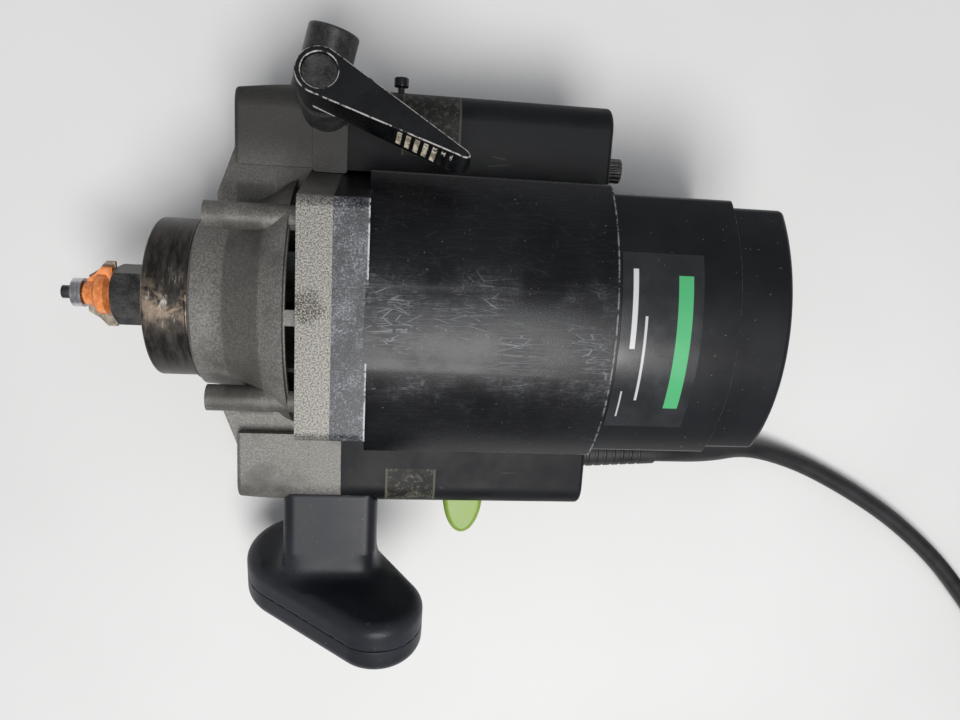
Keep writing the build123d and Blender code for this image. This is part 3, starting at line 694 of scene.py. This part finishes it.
def makeBoot(values):
    # tapered strain relief with rings round it, its sleeve set into the housing
    shape = bmesh.new()
    start, length = values["start"], values["length"]
    sleeveStart = start - values["sleeveLength"]
    profile = [(sleeveStart, values["bore"]), (sleeveStart, values["sleeveRadius"]),
               (start, values["sleeveRadius"]), (start, values["wide"] - 0.4), (start + 0.4, values["wide"])]
    for number in range(values["grooves"]):
        x = start + 6 + number * (length - 12) / values["grooves"]
        radius = values["wide"] + (values["narrow"] - values["wide"]) * (x - start) / length
        profile += [(x, radius), (x + 0.4, radius - values["grooveDepth"]),
                    (x + 1.4, radius - values["grooveDepth"]), (x + 1.8, radius - 0.1)]
    profile += [(start + length - 0.8, values["narrow"]), (start + length, values["narrow"] - 0.7),
                (start + length, values["bore"]), (sleeveStart, values["bore"])]
    lathe(shape, profile, 40, atAxis @ Matrix.Translation((0, values["y"], values["z"])))
    return finishPiece(shape, "cordBoot", "head", ["cord_rubber"], ("strain_relief",))


cordBoot = makeBoot(bootValues)


plugValues = {
    "spot": cordValues["tail"][-1],
    "heading": math.degrees(math.atan2(24, -10.5)),  # that of the cord's last stretch
    "radius": 18.5,
    "rings": 4,
}


def makePlug(values):
    # round moulded plug: ringed neck, body and rim
    shape = bmesh.new()
    big = values["radius"]
    profile = [(-30, 0), (-30, 6.4), (-29.2, 7.0)]
    for number in range(values["rings"]):
        x = -25 + 4.2 * number
        radius = 7.2 + 0.35 * number
        profile += [(x, radius), (x + 0.4, radius - 0.8), (x + 1.7, radius - 0.8), (x + 2.1, radius)]
    profile += [(-6, 9.6), (-1, big - 3.4), (2, big - 0.9), (5, big), (28, big), (29, big - 0.8),
                (31, big - 0.8), (32, big), (34.5, big - 0.6), (36, big - 2.4), (36, 0)]
    turn = Matrix.Rotation(math.radians(values["heading"]), 4, "Z")
    lathe(shape, profile, 56, atAxis @ Matrix.Translation(values["spot"]) @ turn)
    return finishPiece(shape, "plugMoulding", "head", ["cord_rubber"], ("plug_body",))


plugMoulding = makePlug(plugValues)
coilTie = softened("cord_tie", "coilTie", {"round": 0.5, "segments": 2})
print("cord laid")


# castings and housings
rimValues = {"machined": (-70.1, -56), "black": (-56.4, -42.2), "inner": 57.5}


def paintRim(shape, span, mostTurned):
    # faces of the square flange outside its inner height, but none that looks along the axis
    low, high = (fromAxis(x, 0, 0).x for x in span)
    for face in shape.faces:
        centre = face.calc_center_median()
        outside = abs(centre.z - axisSpot.z) > rimValues["inner"] * mm
        if low < centre.x < high and outside and abs(face.normal.x) < mostTurned:
            face.material_index = 1


def paintFlange(shape):
    # the machined rim is brighter than the rest of the casting
    paintRim(shape, rimValues["machined"], 0.5)


def paintBlackFlange(shape):
    paintRim(shape, rimValues["black"], 0.9)


leverValues = {
    "pivot": (-63.4, 80.4, -4), "tilt": 15, "swing": -28, "hubTop": 52.5, "reach": 66.0,
    "tipNarrow": 0.4, "tipShift": 1.2, "tipLength": 8,
    "slots": 8, "pitch": 3.6, "firstSlot": 7.0, "dusty": (2, 3, 4, 5, 6),
    "slotWidth": 2.0, "slotLow": -9.6, "slotHigh": -1.6, "slotDepth": 0.6, "slotInset": 0.12,
}


def leverPlace():
    # the lever's own space: X along the arm, Z up the pivot
    values = leverValues
    tilt = Matrix.Rotation(math.radians(-values["tilt"]), 4, "X")
    swing = Matrix.Rotation(math.radians(values["swing"]), 4, "Z")
    return atAxis @ Matrix.Translation(values["pivot"]) @ tilt @ swing


def narrowLeverTop(shape):
    # the arm's top face tapers more than its foot, so the flanks lean out
    place = leverPlace()
    back = place.inverted()
    for vert in shape.verts:
        here = back @ vert.co
        nearTip = here.x > leverValues["reach"] - leverValues["tipLength"]
        if nearTip and here.z > leverValues["hubTop"] - 0.2:
            here.y = here.y * leverValues["tipNarrow"] + leverValues["tipShift"]
            here.x -= 1.0
            vert.co = place @ here


def cutLeverSlots(shape):
    # the openings between the ribs show in the side wall near the tip, full of dust
    values = leverValues
    place = leverPlace()
    back = place.inverted()
    outward = place.to_3x3().normalized() @ Vector((0.08, -1, 0.15)).normalized()
    facing = [face for face in shape.faces if face.normal.dot(outward) > 0.95]
    parts = [max(facing, key=lambda face: face.calc_area())]

    def cut(spot, normal):
        geom = set(parts) | {edge for face in parts for edge in face.edges}
        geom |= {vert for face in parts for vert in face.verts}
        made = bmesh.ops.bisect_plane(shape, geom=list(geom), dist=1e-7, plane_co=place @ Vector(spot),
                                      plane_no=place.to_3x3().normalized() @ Vector(normal))
        parts[:] = [item for item in made["geom"] if isinstance(item, bmesh.types.BMFace)]

    first = values["reach"] - values["firstSlot"]
    for number in range(values["slots"]):
        for side in (-0.5, 0.5):
            cut((first - values["pitch"] * number + side * values["slotWidth"], 0, 0), (1, 0, 0))
    for level in (values["slotLow"], values["slotHigh"]):
        cut((0, 0, values["hubTop"] + level), (0, 0, 1))
    slots = []
    for face in parts:
        middle = back @ face.calc_center_median()
        along = (first - middle.x) / values["pitch"]
        inRow = abs(along - round(along)) * values["pitch"] < values["slotWidth"] / 2 and -0.5 < along
        inRow = inRow and round(along) < values["slots"]
        if inRow and values["slotLow"] < middle.z - values["hubTop"] < values["slotHigh"]:
            slots.append(face)
            face.material_index = 2 if round(along) in values["dusty"] else 0
    bmesh.ops.inset_individual(shape, faces=slots, thickness=values["slotInset"] * mm,
                               depth=-values["slotDepth"] * mm)
    print("lever slots:", len(slots))


# rounding in millimetres; the paint and edge indices count along mats
softened("front_casting", "frontCasting", {
    "round": 0.7, "smooth": 13, "mats": ["cast_alloy", "flange_face"], "paint": paintFlange,
})
# the rounded edges of both housings carry the painted edge highlight
softened("motor_housing", "motorHousing", {
    "round": 0.5, "mats": ["scuffed_plastic", "flange_black", "housing_edge_highlight"], "edgeIndex": 2,
    "paint": paintBlackFlange,
})
softened("upper_housing", "upperHousing", {
    "round": 0.5, "mats": ["black_plastic", "housing_edge_highlight"], "edgeIndex": 1,
})
softened("end_cap", "endCap", {"round": 0.5})
softened("column_box_lever_side", "columnBoxLeverSide", {"round": 0.5, "mats": ["box_plastic"]})
softened("column_box_handle_side", "columnBoxHandleSide", {"round": 0.5, "mats": ["box_plastic"]})
softened("mounting_collar", "mountingCollar", {"round": 0.4})
softened("collet_nut", "colletNut", {"round": 0.35, "mats": ["tool_steel", "zinc_steel"]})
softened("cutter_body", "cutterBody", {"round": 0.35, "segments": 3})
softened("clamp_lever", "clampLever", {
    "round": 0.45, "mats": ["black_gloss", "worn_edge", "lever_dust"], "edgeIndex": 1, "clamp": False,
    "reshape": narrowLeverTop, "paint": cutLeverSlots,
})
softened("handle_post", "handlePost", {"round": 0.4})
softened("clamp_bush", "clampBush", {"round": 0.3, "mats": ["wiper_rubber"]})


rockerValues = {
    "pivot": (4.4, -91.5, -4), "halfWidth": 9.8, "reach": 20.2, "thick": 16.0, "round": 2.6, "flatY": 0.7,
    "pinRadius": 1.5, "pinLength": 20.0,
}


def makeRocker(values):
    # tongue that narrows to a round end, with its pivot pins
    shape = bmesh.new()
    bmesh.ops.create_circle(shape, cap_ends=True, segments=64, radius=1.0)
    bmesh.ops.scale(shape, vec=(values["halfWidth"], values["reach"], 1), verts=shape.verts)
    everything = [*shape.verts, *shape.edges, *shape.faces]
    bmesh.ops.bisect_plane(shape, geom=everything, plane_co=(0, values["flatY"], 0), plane_no=(0, 1, 0),
                           clear_outer=True)
    grown = bmesh.ops.extrude_face_region(shape, geom=list(shape.faces))
    moved = [item for item in grown["geom"] if isinstance(item, bmesh.types.BMVert)]
    bmesh.ops.translate(shape, vec=(0, 0, values["thick"]), verts=moved)
    bmesh.ops.translate(shape, vec=(0, 0, -values["thick"] / 2), verts=shape.verts)
    rims = [edge for edge in shape.edges if abs(edge.verts[0].co.z - edge.verts[1].co.z) < 0.1
            and min(vert.co.y for vert in edge.verts) < values["flatY"] - 0.1]
    bmesh.ops.bevel(shape, geom=rims, affect="EDGES", offset=values["round"], offset_type="OFFSET",
                    segments=5, profile=0.5, material=-1, clamp_overlap=True)
    bmesh.ops.create_cone(shape, cap_ends=True, segments=24, radius1=values["pinRadius"],
                          radius2=values["pinRadius"], depth=values["pinLength"])
    bmesh.ops.recalc_face_normals(shape, faces=shape.faces)
    bmesh.ops.transform(shape, matrix=atAxis @ Matrix.Translation(values["pivot"]), verts=shape.verts)
    return finishPiece(shape, "switchRocker", "rocker", ["green_plastic"],
                       ("switch_rocker",), 40)


makeRocker(rockerValues)
softened("depth_adjuster", "depthAdjuster", {"round": 0.15})


gripValues = {
    "y": -129.4, "tilt": 10, "neckX": (-81.4, -37.4), "neckZ": (-24.0, 12.0), "neckEndY": -97,
    "voxel": 0.85, "reach": 11.0, "above": 1.2, "inward": 1.5, "rounds": 110,
}


def makeGrip(values):
    # inner shell, its neck running into the grip in a soft hollow
    mesh = nodes["handle_inner_shell"].data.copy()
    raw = bpy.data.objects.new("gripRaw", mesh)
    scene.collection.objects.link(raw)
    weld = raw.modifiers.new("weld", "WELD")
    weld.merge_threshold = weldGap
    remesh = raw.modifiers.new("voxels", "REMESH")
    remesh.mode = "VOXEL"
    remesh.voxel_size = values["voxel"] * mm
    dense = bpy.data.meshes.new_from_object(raw.evaluated_get(bpy.context.evaluated_depsgraph_get()))
    bpy.data.objects.remove(raw)
    shape = bmesh.new()
    shape.from_mesh(dense)
    turn = Matrix.Rotation(math.radians(90 + values["tilt"]), 4, "X")
    toGrip = (atAxis @ Matrix.Translation((0, values["y"], 0)) @ turn).inverted()
    toAxis = atAxis.inverted()
    (x0, x1), (z0, z1) = values["neckX"], values["neckZ"]
    soft = []
    for vert in shape.verts:
        here = toAxis @ vert.co
        depth = (toGrip @ vert.co).z
        out = max(x0 - here.x, here.x - x1, z0 - here.z, here.z - z1)
        nearNeck = -values["reach"] < depth < values["above"] and -values["inward"] < out < values["reach"]
        if nearNeck and here.y < values["neckEndY"]:
            soft.append(vert)
    for _ in range(values["rounds"]):
        bmesh.ops.smooth_vert(shape, verts=soft, factor=0.5, use_axis_x=True, use_axis_y=True,
                              use_axis_z=True)
    return finishPiece(shape, "gripMoulding", "head", ["grip_plastic"],
                       ("handle_inner_shell",), 60)


makeGrip(gripValues)
softened("handle_outer_shell", "gripCover", {"round": 0.5})
print("edges rounded")


# finishes of the CAD nodes that stay
for nodeName, nodeObject in nodes.items():
    nodeObject.data.materials.clear()
    nodeObject.data.materials.append(materials[slotOf(nodeName)])
print("finishes given")
